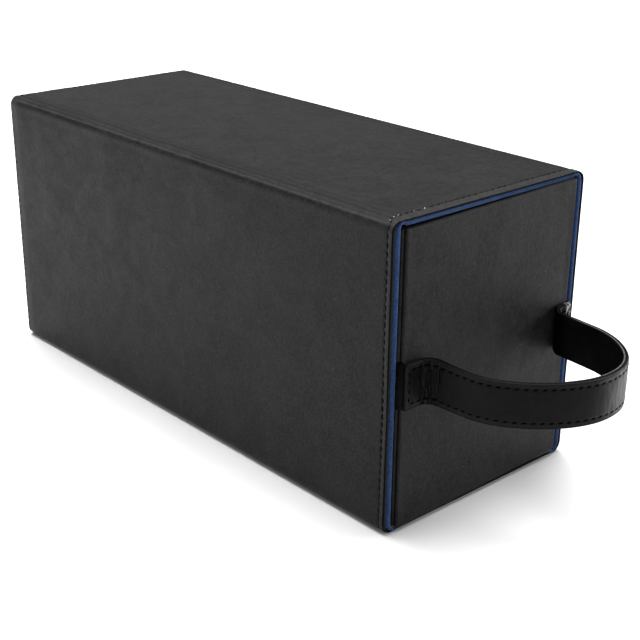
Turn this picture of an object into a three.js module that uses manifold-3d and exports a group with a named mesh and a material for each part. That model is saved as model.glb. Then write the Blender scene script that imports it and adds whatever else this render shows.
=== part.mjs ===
// Card deck box: a leatherette sleeve, open at one end, and a drawer that slides out of it by a strap handle.
// Millimetres. +Z is up and the mouth faces -Y. The origin is the middle of the sleeve's underside.
import * as THREE from "three";
import { mergeVertices } from "three/addons/utils/BufferGeometryUtils.js";
import Module from "manifold-3d";

const wasm = await Module();
wasm.setup();

// Sleeve, outside sizes.
const BOX_WIDTH = 114;
const BOX_LENGTH = 279;
const BOX_HEIGHT = 132;
const EDGE_RADIUS = 3.2;
const BACK_EDGE_RADIUS = 1.3;

// Layers of the sleeve's walls, from the outside in.
const COVER = 1.4;
const WALL_BOARD = 2.4;
const TOP_BOARD = 1.0;
const FLOOR_CARD = 0.5;
const LINING = 0.4;
const GLUE_LINE = 0.05;
const TURN_IN = 8;
const BOARD_SETBACK = 2;

// Drawer: a tray of covered board with a panel glued on its front.
const SIDE_CLEARANCE = 1.0;
const TOP_CLEARANCE = 0.6;
const FLOOR_CLEARANCE = 0.3;
const BACK_CLEARANCE = 0.5;
const TRAY_COVER = 0.8;
const TRAY_BOARD = 2.0;
const TRAY_EDGE_RADIUS = 1.0;
const PANEL_INSET = 1.2;
const PANEL_RISE = 0.6;
const PANEL_DROP = 0.45;
const PANEL_CARD = 0.7;
const PANEL_COVER = 0.6;

// Strap handle, in plan: x from the middle of the box, reach in front of the mouth.
const STRAP_WIDTH = 19.4;
const STRAP_BOTTOM = 55.1;
const STRAP_LAYER = 1.1;
const STRAP_TAB_END = 50.1;
const STRAP_FOLD_START = 43.4;
const STRAP_FOLD_END = { x: 39.9, reach: 8 };
const STRAP_LEG_END = { x: 38.7, reach: 25 };
const STRAP_REACH = 58.3;
const STRAP_LEG_PULL = 16;
const STRAP_FRONT_PULL = 20;
const STRAP_TAIL = 25;
const STRAP_TAIL_THICKNESS = 0.6;

// Sewing thread.
const THREAD = 0.4;
const MOUTH_SEAM = 3;
const BACK_SEAM = 2.4;
const STRAP_SEAM = 2.5;
const TAB_SEAM = 1.8;
const GROOVE = 0.5;

const ARC_STEPS = 6;
const MOUTH = -BOX_LENGTH / 2;
const BACK = BOX_LENGTH / 2;
const WALL = COVER + WALL_BOARD + LINING;
const TOP_WALL = COVER + TOP_BOARD + LINING;
const FLOOR = COVER + FLOOR_CARD + LINING;

const leatherette = new THREE.MeshStandardMaterial({ color: 0x3b3b3c, roughness: 0.62, metalness: 0 });
const greyboard = new THREE.MeshStandardMaterial({ color: 0x8f8b84, roughness: 0.9, metalness: 0 });
const microfibre = new THREE.MeshStandardMaterial({ color: 0x2b4370, roughness: 0.95, metalness: 0 });
const strapLeather = new THREE.MeshStandardMaterial({ color: 0x1b1b1c, roughness: 0.5, metalness: 0 });
const sewingThread = new THREE.MeshStandardMaterial({ color: 0x101011, roughness: 0.7, metalness: 0 });

// A closed geometry as a solid that can be joined and cut.
function solid(geometry) {
  const bare = geometry.clone();
  bare.deleteAttribute("normal");
  bare.deleteAttribute("uv");
  const merged = mergeVertices(bare, 1e-4);
  const triVerts = new Uint32Array(merged.index.array);
  const vertProperties = new Float32Array(merged.attributes.position.array);
  return new wasm.Manifold(new wasm.Mesh({ numProp: 3, vertProperties, triVerts }));
}

// A solid as a geometry that a mesh can show.
function shown(manifold) {
  const { vertProperties, triVerts } = manifold.getMesh();
  const geometry = new THREE.BufferGeometry();
  geometry.setAttribute("position", new THREE.BufferAttribute(vertProperties, 3));
  geometry.setIndex(new THREE.BufferAttribute(triVerts, 1));
  geometry.computeVertexNormals();
  return geometry;
}

// A rectangle from (left, low) to (right, high) with all corners rounded.
function roundedRectangle(left, right, low, high, radius) {
  const shape = new THREE.Shape();
  shape.absarc(right - radius, low + radius, radius, -Math.PI / 2, 0);
  shape.absarc(right - radius, high - radius, radius, 0, Math.PI / 2);
  shape.absarc(left + radius, high - radius, radius, Math.PI / 2, Math.PI);
  shape.absarc(left + radius, low + radius, radius, Math.PI, 1.5 * Math.PI);
  return shape;
}

// The sleeve's outline in the X-Z plane, moved in by an inset.
function sleeveOutline(inset) {
  const half = BOX_WIDTH / 2 - inset;
  return roundedRectangle(-half, half, inset, BOX_HEIGHT - inset, EDGE_RADIUS - inset);
}

// A shape drawn in the X-Z plane, run along Y.
function alongY(shape, from, to) {
  const geometry = new THREE.ExtrudeGeometry(shape, {
    depth: to - from,
    bevelEnabled: false,
    curveSegments: ARC_STEPS,
  });
  return geometry.rotateX(Math.PI / 2).translate(0, to, 0);
}

// A shape drawn in the X-Y plane, run along Z.
function alongZ(shape, from, to) {
  const geometry = new THREE.ExtrudeGeometry(shape, {
    depth: to - from,
    bevelEnabled: false,
    curveSegments: ARC_STEPS,
  });
  return geometry.translate(0, 0, from);
}

// A tube between two insets of the sleeve's outline.
function sleeveTube(outerInset, innerInset, from, to) {
  const shape = sleeveOutline(outerInset);
  shape.holes.push(sleeveOutline(innerInset));
  return alongY(shape, from, to);
}

function block([x0, x1], [y0, y1], [z0, z1]) {
  const geometry = new THREE.BoxGeometry(x1 - x0, y1 - y0, z1 - z0);
  return geometry.translate((x0 + x1) / 2, (y0 + y1) / 2, (z0 + z1) / 2);
}

const box = new THREE.Group();
const sleeve = new THREE.Group();
const drawer = new THREE.Group();
box.add(sleeve, drawer);

function addPart(group, name, geometry, material) {
  const mesh = new THREE.Mesh(geometry, material);
  mesh.name = name;
  group.add(mesh);
}

// ---------- Sleeve ----------

// The frame of a wall: depth into the wall, then the direction its section is run along.
// A section is drawn with x back from the mouth and y in from the cover.
const WALLS = {
  left: { origin: [-BOX_WIDTH / 2 + COVER, MOUTH, 0], inward: [1, 0, 0] },
  right: { origin: [BOX_WIDTH / 2 - COVER, MOUTH, 0], inward: [-1, 0, 0] },
  top: { origin: [0, MOUTH, BOX_HEIGHT - COVER], inward: [0, 0, -1] },
};

// Runs a section across a wall, from one place to another along Z on a side wall or along X on the top.
function acrossWall(section, { origin, inward }, from, to) {
  const geometry = new THREE.ExtrudeGeometry(section, {
    depth: to - from,
    bevelEnabled: false,
    curveSegments: ARC_STEPS,
  });
  const back = new THREE.Vector3(0, 1, 0);
  const depth = new THREE.Vector3(...inward);
  const across = new THREE.Vector3().crossVectors(back, depth);
  const start = across.x + across.z > 0 ? from : -to;
  const placed = new THREE.Matrix4().makeBasis(back, depth, across);
  placed.setPosition(new THREE.Vector3(...origin).addScaledVector(across, start));
  return geometry.applyMatrix4(placed);
}

const WALL_LENGTH = BACK - COVER - WALL_BOARD - GLUE_LINE - MOUTH;

// The board starts behind the soft rolled edge, and is thinner where the lining is turned in under the cover.
function boardSection(thickness) {
  const turnInEnd = (thickness + LINING) / 2 + TURN_IN + GLUE_LINE;
  const section = new THREE.Shape();
  section.moveTo(BOARD_SETBACK, LINING + GLUE_LINE);
  section.lineTo(turnInEnd, LINING + GLUE_LINE);
  section.lineTo(turnInEnd, GLUE_LINE);
  section.lineTo(WALL_LENGTH, GLUE_LINE);
  section.lineTo(WALL_LENGTH, thickness - GLUE_LINE);
  section.lineTo(BOARD_SETBACK, thickness - GLUE_LINE);
  return section;
}

// The lining makes a soft roll at the mouth and ends under the cover.
function liningSection(thickness) {
  const roll = (thickness + LINING) / 2;
  const section = new THREE.Shape();
  section.absarc(roll, roll, roll - GLUE_LINE, Math.PI / 2, 1.5 * Math.PI);
  section.lineTo(roll + TURN_IN, GLUE_LINE);
  section.lineTo(roll + TURN_IN, LINING);
  section.absarc(roll, roll, roll - LINING, 1.5 * Math.PI, Math.PI / 2, true);
  section.lineTo(WALL_LENGTH, thickness);
  section.lineTo(WALL_LENGTH, thickness + LINING - GLUE_LINE);
  return section;
}

const insideCover = solid(alongY(sleeveOutline(COVER + GLUE_LINE), MOUTH, BACK));

function wallLayer(section, wall, from, to) {
  return shown(solid(acrossWall(section, WALLS[wall], from, to)).intersect(insideCover));
}

function buildCovers() {
  const end = BACK - COVER - GLUE_LINE;
  const grooves = [
    [MOUTH + MOUTH_SEAM, MOUTH + MOUTH_SEAM + 2 * THREAD],
    [BACK - BACK_SEAM - 2 * THREAD, BACK - BACK_SEAM],
  ];
  let cover = solid(sleeveTube(0, COVER, MOUTH, end));
  for (const [from, to] of grooves) {
    cover = cover.subtract(solid(sleeveTube(-GROOVE, GROOVE, from, to)));
  }
  addPart(sleeve, "sleeve_cover", shown(cover), leatherette);

  const plate = new THREE.ExtrudeGeometry(sleeveOutline(BACK_EDGE_RADIUS), {
    depth: 2 * COVER,
    bevelThickness: BACK_EDGE_RADIUS,
    bevelSize: BACK_EDGE_RADIUS,
    bevelSegments: 4,
    curveSegments: ARC_STEPS,
  });
  plate.rotateX(Math.PI / 2).translate(0, BACK - BACK_EDGE_RADIUS, 0);
  const kept = block([-BOX_WIDTH, BOX_WIDTH], [BACK - COVER, BACK + 1], [-1, BOX_HEIGHT + 1]);
  addPart(sleeve, "back_cover", shown(solid(plate).intersect(solid(kept))), leatherette);
}

function buildSleeveBoards() {
  const sideHigh = BOX_HEIGHT - TOP_WALL - GLUE_LINE;
  const topHalf = BOX_WIDTH / 2 - COVER - GLUE_LINE;
  const floorHalf = BOX_WIDTH / 2 - WALL - GLUE_LINE;
  const backInside = BACK - COVER - WALL_BOARD;

  for (const side of ["left", "right"]) {
    const board = wallLayer(boardSection(WALL_BOARD), side, COVER, sideHigh);
    const lining = wallLayer(liningSection(WALL_BOARD), side, COVER, sideHigh);
    addPart(sleeve, "board_" + side, board, greyboard);
    addPart(sleeve, "lining_" + side, lining, microfibre);
  }
  const topBoard = wallLayer(boardSection(TOP_BOARD), "top", -topHalf, topHalf);
  const topLining = wallLayer(liningSection(TOP_BOARD), "top", -topHalf, topHalf);
  addPart(sleeve, "board_top", topBoard, greyboard);
  addPart(sleeve, "lining_top", topLining, microfibre);

  const cardTop = COVER + FLOOR_CARD;
  const cardSpan = [MOUTH + LINING + GLUE_LINE, backInside - GLUE_LINE];
  const card = block([-floorHalf, floorHalf], cardSpan, [COVER + GLUE_LINE, cardTop]);
  addPart(sleeve, "floor_card", card, greyboard);

  // The floor's lining turns down over the card's front edge.
  const sheet = block([-floorHalf, floorHalf], [MOUTH, cardSpan[1]], [cardTop + GLUE_LINE, FLOOR]);
  const lip = block([-floorHalf, floorHalf], [MOUTH, MOUTH + LINING], [COVER + GLUE_LINE, FLOOR]);
  addPart(sleeve, "lining_floor", shown(solid(sheet).add(solid(lip))), microfibre);

  const board = alongY(sleeveOutline(COVER + GLUE_LINE), backInside, backInside + WALL_BOARD - GLUE_LINE);
  addPart(sleeve, "board_back", board, greyboard);
  const liningSpan = [backInside - LINING, backInside - GLUE_LINE];
  const liningHeight = [FLOOR + GLUE_LINE, sideHigh];
  addPart(sleeve, "lining_back", block([-floorHalf, floorHalf], liningSpan, liningHeight), microfibre);
}

function buildSleeveSeams() {
  const seams = [
    ["mouth_thread", MOUTH + MOUTH_SEAM],
    ["back_thread", BACK - BACK_SEAM - 2 * THREAD],
  ];
  for (const [name, from] of seams) {
    const ring = sleeveTube(GLUE_LINE, GROOVE - GLUE_LINE, from + THREAD / 2, from + 1.5 * THREAD);
    addPart(sleeve, name, ring, sewingThread);
  }
}

// ---------- Drawer ----------

const TRAY = {
  half: BOX_WIDTH / 2 - WALL - SIDE_CLEARANCE,
  front: MOUTH,
  rear: BACK - WALL - BACK_CLEARANCE,
  low: FLOOR + FLOOR_CLEARANCE,
  high: BOX_HEIGHT - TOP_WALL - TOP_CLEARANCE,
};
const TRAY_WALL = TRAY_COVER + TRAY_BOARD + LINING;

// The span of the tray along each axis, moved in by an inset.
function trayX(inset) {
  return [-TRAY.half + inset, TRAY.half - inset];
}

function trayY(inset) {
  return [TRAY.front + inset, TRAY.rear - inset];
}

function buildTrayCover() {
  const [left, right] = trayX(0);
  const [front, rear] = trayY(0);
  const outline = roundedRectangle(left, right, front, rear, TRAY_EDGE_RADIUS);
  const outside = solid(alongZ(outline, TRAY.low, TRAY.high));
  const pocketHeight = [TRAY.low + TRAY_COVER, TRAY.high - TRAY_COVER];
  const pocket = solid(block(trayX(TRAY_COVER), trayY(TRAY_COVER), pocketHeight));
  const opening = solid(block(trayX(TRAY_WALL), trayY(TRAY_WALL), [pocketHeight[0], TRAY.high + 1]));
  addPart(drawer, "tray_cover", shown(outside.subtract(pocket).subtract(opening)), leatherette);
}

function buildTrayBoards() {
  const outer = TRAY_COVER + GLUE_LINE;
  const inner = TRAY_COVER + TRAY_BOARD;
  const [x0, x1] = trayX(outer);
  const [ix0, ix1] = trayX(inner);
  const [y0, y1] = trayY(outer);
  const [iy0, iy1] = trayY(inner);
  const floor = [TRAY.low + outer, TRAY.low + inner];
  const wall = [floor[1] + GLUE_LINE, TRAY.high - outer];
  const between = [ix0 + GLUE_LINE, ix1 - GLUE_LINE];
  addPart(drawer, "tray_board_floor", block([x0, x1], [y0, y1], floor), greyboard);
  addPart(drawer, "tray_board_left", block([x0, ix0], [y0, y1], wall), greyboard);
  addPart(drawer, "tray_board_right", block([ix1, x1], [y0, y1], wall), greyboard);
  addPart(drawer, "tray_board_front", block(between, [y0, iy0], wall), greyboard);
  addPart(drawer, "tray_board_rear", block(between, [iy1, y1], wall), greyboard);
}

function buildTrayLining() {
  const outer = TRAY_COVER + TRAY_BOARD + GLUE_LINE;
  const [x0, x1] = trayX(outer);
  const [ix0, ix1] = trayX(TRAY_WALL);
  const [y0, y1] = trayY(outer);
  const [iy0, iy1] = trayY(TRAY_WALL);
  const floor = [TRAY.low + outer, TRAY.low + TRAY_WALL];
  const wall = [floor[1] + GLUE_LINE, TRAY.high - TRAY_COVER - GLUE_LINE];
  const between = [ix0 + GLUE_LINE, ix1 - GLUE_LINE];
  addPart(drawer, "tray_lining_floor", block([x0, x1], [y0, y1], floor), microfibre);
  addPart(drawer, "tray_lining_left", block([x0, ix0], [y0, y1], wall), microfibre);
  addPart(drawer, "tray_lining_right", block([ix1, x1], [y0, y1], wall), microfibre);
  addPart(drawer, "tray_lining_front", block(between, [y0, iy0], wall), microfibre);
  addPart(drawer, "tray_lining_rear", block(between, [iy1, y1], wall), microfibre);
}

const PANEL_FACE = GLUE_LINE + PANEL_CARD + PANEL_COVER;

// The panel's cover is a shallow dish over the card, whose edges it turns round. It covers the tray's rim.
function buildFrontPanel() {
  const width = trayX(PANEL_INSET);
  const height = [TRAY.low - PANEL_DROP, TRAY.high + PANEL_RISE];
  const cardWidth = trayX(PANEL_INSET + PANEL_COVER);
  const cardHeight = [height[0] + PANEL_COVER, height[1] - PANEL_COVER];
  const back = MOUTH - GLUE_LINE;
  const card = block(cardWidth, [back - PANEL_CARD, back], cardHeight);
  addPart(drawer, "front_panel_card", card, greyboard);

  const dish = solid(block(width, [MOUTH - PANEL_FACE, back], height));
  const grown = ([low, high]) => [low - GLUE_LINE, high + GLUE_LINE];
  const hollow = block(grown(cardWidth), [back - PANEL_CARD - GLUE_LINE, back + 1], grown(cardHeight));
  addPart(drawer, "front_panel_cover", shown(dish.subtract(solid(hollow))), leatherette);
}

// The outside of the strap in plan, from the left tab's end round the loop to the right one's.
function strapOutside(endInset) {
  const at = (x, reach) => new THREE.Vector2(x, MOUTH - reach);
  const face = PANEL_FACE + 2 * (GLUE_LINE + STRAP_LAYER);
  const tabEnd = at(-STRAP_TAB_END + endInset, face);
  const foldStart = at(-STRAP_FOLD_START, face);
  const foldCorner = at(-STRAP_FOLD_END.x - 0.4, face);
  const foldEnd = at(-STRAP_FOLD_END.x, STRAP_FOLD_END.reach);
  const legEnd = at(-STRAP_LEG_END.x, STRAP_LEG_END.reach);
  const leg = legEnd.clone().sub(foldEnd).normalize();
  const legPull = legEnd.clone().addScaledVector(leg, STRAP_LEG_PULL);
  const left = new THREE.CurvePath();
  left.add(new THREE.LineCurve(tabEnd, foldStart));
  left.add(new THREE.QuadraticBezierCurve(foldStart, foldCorner, foldEnd));
  left.add(new THREE.LineCurve(foldEnd, legEnd));
  left.add(new THREE.CubicBezierCurve(legEnd, legPull, at(-STRAP_FRONT_PULL, STRAP_REACH), at(0, STRAP_REACH)));
  const points = left.getPoints(2 * ARC_STEPS);
  const mirrored = points.slice(0, -1).reverse();
  return points.concat(mirrored.map((p) => new THREE.Vector2(-p.x, p.y)));
}

// A line in plan moved to its right-hand side, which for the strap is out of the loop; less than 0 is into it.
function moved(points, distance) {
  return points.map((point, i) => {
    const before = points[Math.max(i - 1, 0)];
    const after = points[Math.min(i + 1, points.length - 1)];
    const way = after.clone().sub(before).normalize();
    return new THREE.Vector2(point.x + way.y * distance, point.y - way.x * distance);
  });
}

// A band between two distances into the loop from the strap's outside.
function strapBand(endInset, outer, inner, from, to) {
  const line = strapOutside(endInset);
  const outline = moved(line, -outer).concat(moved(line, -inner).reverse());
  return alongZ(new THREE.Shape(outline), from, to);
}

// The inner layer runs on past the tabs, round the panel's edges and back along the sides of the tray.
function strapBaseOutline() {
  const line = strapOutside(0);
  const outer = moved(line, -STRAP_LAYER - GLUE_LINE);
  const inner = moved(line, -2 * STRAP_LAYER - GLUE_LINE);
  const tail = TRAY.half + GLUE_LINE;
  const tailOut = tail + STRAP_TAIL_THICKNESS;
  const face = MOUTH - PANEL_FACE - GLUE_LINE - STRAP_LAYER;
  const wrap = [
    [TRAY.half - 0.2, face],
    [tailOut - 0.2, face + STRAP_LAYER / 2],
    [tailOut, face + STRAP_LAYER],
    [tailOut, MOUTH + STRAP_TAIL],
    [tail, MOUTH + STRAP_TAIL],
    [tail, MOUTH - GLUE_LINE],
    [TRAY.half - PANEL_INSET + GLUE_LINE, MOUTH - GLUE_LINE],
    [TRAY.half - PANEL_INSET + GLUE_LINE, MOUTH - PANEL_FACE - GLUE_LINE],
  ];
  const right = wrap.map(([x, y]) => new THREE.Vector2(x, y));
  const left = wrap.map(([x, y]) => new THREE.Vector2(-x, y)).reverse();
  return new THREE.Shape([...outer, ...right, ...inner.reverse(), ...left]);
}

function buildStrap() {
  const low = STRAP_BOTTOM;
  const high = STRAP_BOTTOM + STRAP_WIDTH;
  addPart(drawer, "strap_face", strapBand(0, 0, STRAP_LAYER, low, high), strapLeather);
  addPart(drawer, "strap_base", alongZ(strapBaseOutline(), low, high), strapLeather);

  // One row of thread runs along both edges and across the ends of the tabs.
  const seam = STRAP_SEAM - THREAD / 2;
  const row = solid(strapBand(TAB_SEAM, -THREAD, -GLUE_LINE, low + seam, high - seam));
  const window = strapBand(TAB_SEAM + THREAD, -2 * THREAD, THREAD, low + seam + THREAD, high - seam - THREAD);
  addPart(drawer, "strap_thread", shown(row.subtract(solid(window))), sewingThread);
}

buildCovers();
buildSleeveBoards();
buildSleeveSeams();
buildTrayCover();
buildTrayBoards();
buildTrayLining();
buildFrontPanel();
buildStrap();

export default box;
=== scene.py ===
"""Looks of the card deck box: a leatherette sleeve, its blue lining, and a drawer with a strap handle."""

import math

import bmesh
import bpy
import numpy as np
from mathutils import Matrix, Vector


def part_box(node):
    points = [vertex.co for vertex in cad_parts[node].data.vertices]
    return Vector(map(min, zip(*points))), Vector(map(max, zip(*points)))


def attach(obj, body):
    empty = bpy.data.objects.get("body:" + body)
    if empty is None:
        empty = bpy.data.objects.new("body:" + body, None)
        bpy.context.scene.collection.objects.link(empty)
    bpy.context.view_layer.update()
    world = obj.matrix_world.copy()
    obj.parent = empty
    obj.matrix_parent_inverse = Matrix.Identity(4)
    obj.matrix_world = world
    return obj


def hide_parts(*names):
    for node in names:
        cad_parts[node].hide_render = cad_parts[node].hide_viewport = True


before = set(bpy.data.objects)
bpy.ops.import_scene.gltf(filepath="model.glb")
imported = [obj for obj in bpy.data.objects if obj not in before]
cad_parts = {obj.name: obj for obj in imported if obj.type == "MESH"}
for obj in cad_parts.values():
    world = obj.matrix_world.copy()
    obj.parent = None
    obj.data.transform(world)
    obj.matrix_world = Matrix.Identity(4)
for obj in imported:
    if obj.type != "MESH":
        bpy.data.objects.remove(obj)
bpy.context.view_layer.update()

MM = 0.001
scene = bpy.context.scene



def in_mm(corners):
    """A box's low and high corners, from metres to millimetres."""
    return [np.array(corner) / MM for corner in corners]


# Places taken from the frame, in millimetres.
COVER_LOW, COVER_HIGH = in_mm(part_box("sleeve_cover"))
HALF = COVER_HIGH[0]
TOP = COVER_HIGH[2]
MOUTH = COVER_LOW[1]
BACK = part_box("back_cover")[1].y / MM
LENGTH = BACK - MOUTH

# Sizes of the sleeve, and how far its seams lie from the mouth and the back.
COVER_THICK = 1.4
EDGE_RADIUS = 4.4
HEM = 9.0
PITCH = 3.5
SIDE_SEAM = 2.8
TOP_SEAM = 6.0
BACK_SEAM = 2.7
SEAM_DRAW = 0.26
BACK_DRAW = 0.3


# ---------------------------------------------------------------- mesh tools


def ripple(points, wavelength, seed, waves=28):
    """Smooth seeded noise of unit spread: a sum of sine waves of about one wavelength."""
    rng = np.random.default_rng(seed)
    ways = rng.normal(size=(waves, 3))
    ways /= np.linalg.norm(ways, axis=1)[:, None]
    ways *= (2 * math.pi / (wavelength * rng.uniform(0.7, 1.6, waves)))[:, None]
    turns = np.asarray(points, float) @ ways.T + rng.uniform(0, 2 * math.pi, waves)
    return np.sin(turns).sum(-1) * math.sqrt(2 / waves)


def smooth_step(low, high, value):
    share = np.clip((np.asarray(value, float) - low) / (high - low), 0, 1)
    return share * share * (3 - 2 * share)


def hollow(value, centre, half_width):
    """A smooth bump of height 1 at the centre that falls to 0 at half_width to each side."""
    share = np.clip(np.abs(np.asarray(value, float) - centre) / half_width, 0, 1)
    return (1 - share * share) ** 2


def loft(rings, loop=False):
    """Points and faces between closed rings, with the ends capped unless the rings form a loop."""
    rings = np.asarray(rings, float)
    count, size = rings.shape[:2]
    faces = []
    for i in range(count if loop else count - 1):
        a, b = i * size, ((i + 1) % count) * size
        for j in range(size):
            k = (j + 1) % size
            faces.append((a + j, a + k, b + k, b + j))
    if not loop:
        faces.append(tuple(range(size)))
        faces.append(tuple(range((count - 1) * size, count * size)))
    return rings.reshape(-1, 3), faces


def joined(parts):
    """Several (points, faces) pairs as one."""
    points, faces, start = [], [], 0
    for some_points, some_faces in parts:
        points.append(np.asarray(some_points, float))
        faces.extend(tuple(start + i for i in face) for face in some_faces)
        start += len(some_points)
    return np.concatenate(points), faces


def make_piece(name, shape, material, body, stands_for=()):
    """A piece from points in millimetres and faces, riding on a body."""
    points, faces = shape
    mesh = bpy.data.meshes.new(name)
    mesh.from_pydata((np.asarray(points) * MM).tolist(), [], faces)
    work = bmesh.new()
    work.from_mesh(mesh)
    bmesh.ops.recalc_face_normals(work, faces=work.faces)
    work.to_mesh(mesh)
    work.free()
    mesh.polygons.foreach_set("use_smooth", np.ones(len(mesh.polygons), bool))
    mesh.materials.append(material)
    piece = bpy.data.objects.new(name, mesh)
    scene.collection.objects.link(piece)
    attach(piece, body)
    if stands_for:
        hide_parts(*stands_for)
    return piece


def stations(length, fine, coarse, zone):
    """Places along a straight side, close together near both ends."""
    near = np.arange(0, zone, fine)
    between = np.linspace(zone, length - zone, max(2, round((length - 2 * zone) / coarse) + 1))
    return np.concatenate([near, between, length - near[::-1]])


class Outline:
    """A rounded rectangle in a plane, sampled all the way round, that can be drawn at any inset."""

    def __init__(self, low, high, radius, fine=0.5, coarse=1.75, zone=8.0, arc_steps=7):
        self.low, self.high, self.radius = np.array(low, float), np.array(high, float), radius
        width, height = self.high - self.low - 2 * radius
        inner_low, inner_high = self.low + radius, self.high - radius
        corners = [
            (inner_low[0], inner_low[1]),
            (inner_high[0], inner_low[1]),
            (inner_high[0], inner_high[1]),
            (inner_low[0], inner_high[1]),
        ]
        base, outward, corner_way, side, near = [], [], [], [], []
        for i, length in enumerate([width, height, width, height]):
            start, end = np.array(corners[i]), np.array(corners[(i + 1) % 4])
            along = (end - start) / length
            normal = np.array([along[1], -along[0]])
            for place in stations(length, fine, coarse, min(zone, length / 3)):
                base.append(start + along * place)
                outward.append(normal)
                corner_way.append(normal)
                side.append(i)
                near.append(min(place, length - place) + radius)
            for step in range(1, arc_steps):
                angle = step / arc_steps * math.pi / 2
                base.append(end)
                outward.append(normal * math.cos(angle) + along * math.sin(angle))
                corner_way.append(normal + along)
                side.append(i if step < arc_steps / 2 else (i + 1) % 4)
                near.append(radius * (1 - math.sin(min(angle, math.pi / 2 - angle))))
        self.base, self.outward = np.array(base), np.array(outward)
        self.corner_way, self.side, self.near = np.array(corner_way), np.array(side), np.array(near)

    def at(self, inset):
        """The outline moved in, with sharp corners once its rounding is used up."""
        inset = np.broadcast_to(inset, len(self.base))[:, None]
        way = np.where(inset <= self.radius, self.outward, self.corner_way)
        points = self.base + way * (self.radius - inset)
        return np.clip(points, self.low + inset, self.high - inset)


def slab(low, high, thickness, corner_radius, edge_radius, step=1.6, relief=None):
    """A flat board with rounded corners and edges: its face is at depth 0 and its back at thickness.

    Returns points as (across, up, depth). relief(across, up, inside) raises the face.
    """
    width, height = np.array(high, float) - np.array(low, float)
    centre = (np.array(high, float) + np.array(low, float)) / 2
    fine = np.array([0, 0.12, 0.26, 0.42, 0.6, 0.85, 1.25, 1.9, 2.8]) * max(edge_radius, 0.5) / 0.6

    def spread(length):
        middle = np.linspace(fine[-1], length - fine[-1], max(3, round(length / step)))[1:-1]
        return np.concatenate([fine, middle, length - fine[::-1]]) - length / 2

    across, up = np.meshgrid(spread(width), spread(height), indexing="ij")
    a = np.clip((np.abs(across) - (width / 2 - corner_radius)) / corner_radius, 0, 1)
    b = np.clip((np.abs(up) - (height / 2 - corner_radius)) / corner_radius, 0, 1)
    across_out = np.sign(across) * (width / 2 - corner_radius + corner_radius * a * np.sqrt(1 - b * b / 2))
    up_out = np.sign(up) * (height / 2 - corner_radius + corner_radius * b * np.sqrt(1 - a * a / 2))
    x = np.where(a > 0, across_out, across)
    z = np.where(b > 0, up_out, up)
    over = np.maximum(np.stack([np.abs(x) - width / 2, np.abs(z) - height / 2]) + corner_radius, 0)
    inside_corner = corner_radius - np.hypot(over[0], over[1])
    straight = np.minimum(width / 2 - np.abs(x), height / 2 - np.abs(z))
    inside = np.where((over[0] > 0) & (over[1] > 0), inside_corner, straight)
    rim = np.maximum(edge_radius - np.maximum(inside, 0), 0)
    depth = edge_radius - np.sqrt(np.maximum(edge_radius**2 - rim**2, 0))
    x, z = x + centre[0], z + centre[1]
    if relief is not None:
        depth = depth - relief(x, z, inside) * smooth_step(0, 2 * edge_radius, inside)
    rows, columns = x.shape
    front = np.stack([x, z, depth], -1).reshape(-1, 3)
    faces = [
        (i * columns + j, (i + 1) * columns + j, (i + 1) * columns + j + 1, i * columns + j + 1)
        for i in range(rows - 1)
        for j in range(columns - 1)
    ]
    border = (
        [i * columns for i in range(rows)]
        + [(rows - 1) * columns + j for j in range(1, columns)]
        + [i * columns + columns - 1 for i in range(rows - 2, -1, -1)]
        + [j for j in range(columns - 2, 0, -1)]
    )
    points, last, size = [front], border, len(border)
    for level in (0.5, 1.0):
        ring = front[border].copy()
        ring[:, 2] = edge_radius + (thickness - edge_radius) * level
        start = sum(len(p) for p in points)
        points.append(ring)
        here = list(range(start, start + size))
        faces += [(last[i], last[(i + 1) % size], here[(i + 1) % size], here[i]) for i in range(size)]
        last = here
    faces.append(tuple(last))
    return np.concatenate(points), faces


def board_ripple(x, z, height, seed):
    """The unevenness of a covered board: long waves of this height and short ones."""
    place = np.stack([x, np.zeros_like(x), z], -1)
    return height * ripple(place, 30, seed) + 0.02 * ripple(place, 8, seed + 1)


def stitch(start, end, normal, radius, rise=0.22, sink=0.45):
    """One stitch: a short length of thread that comes up out of one hole and goes down the next."""
    start, end, normal = (np.array(v, float) for v in (start, end, normal))
    along = end - start
    length = np.linalg.norm(along)
    along /= length
    side = np.cross(normal, along)
    rings = []
    for share in (0.0, 0.07, 0.2, 0.5, 0.8, 0.93, 1.0):
        lift = (rise + sink) * math.sin(math.pi * share) ** 0.45 - sink
        thick = radius * (0.82 + 0.18 * math.sin(math.pi * share))
        centre = start + along * length * share + normal * lift
        turns = np.linspace(0, 2 * math.pi, 8, endpoint=False)
        rings.append([centre + (side * math.cos(t) + normal * math.sin(t)) * thick for t in turns])
    return loft(rings)


def stitch_row(path, normals, pitch, radius, share=0.68, slant=0.1, closed=False, **how):
    """Stitches at an even pitch along a path on a surface."""
    path, normals = np.asarray(path, float), np.asarray(normals, float)
    if closed:
        path, normals = np.vstack([path, path[:1]]), np.vstack([normals, normals[:1]])
    run = np.concatenate([[0], np.cumsum(np.linalg.norm(np.diff(path, axis=0), axis=1))])
    count = max(1, round(run[-1] / pitch))
    step = run[-1] / count

    def at(values, place):
        return np.array([np.interp(place, run, values[:, k]) for k in range(3)])

    made = []
    for i in range(count):
        middle = (i + 0.5) * step
        start, end = (at(path, middle + sign * share * step / 2) for sign in (-1, 1))
        normal = at(normals, middle)
        normal /= np.linalg.norm(normal)
        side = np.cross(normal, end - start) * slant
        made.append(stitch(start - side / 2, end + side / 2, normal, radius, **how))
    return joined(made)


# ---------------------------------------------------------------- materials


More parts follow.
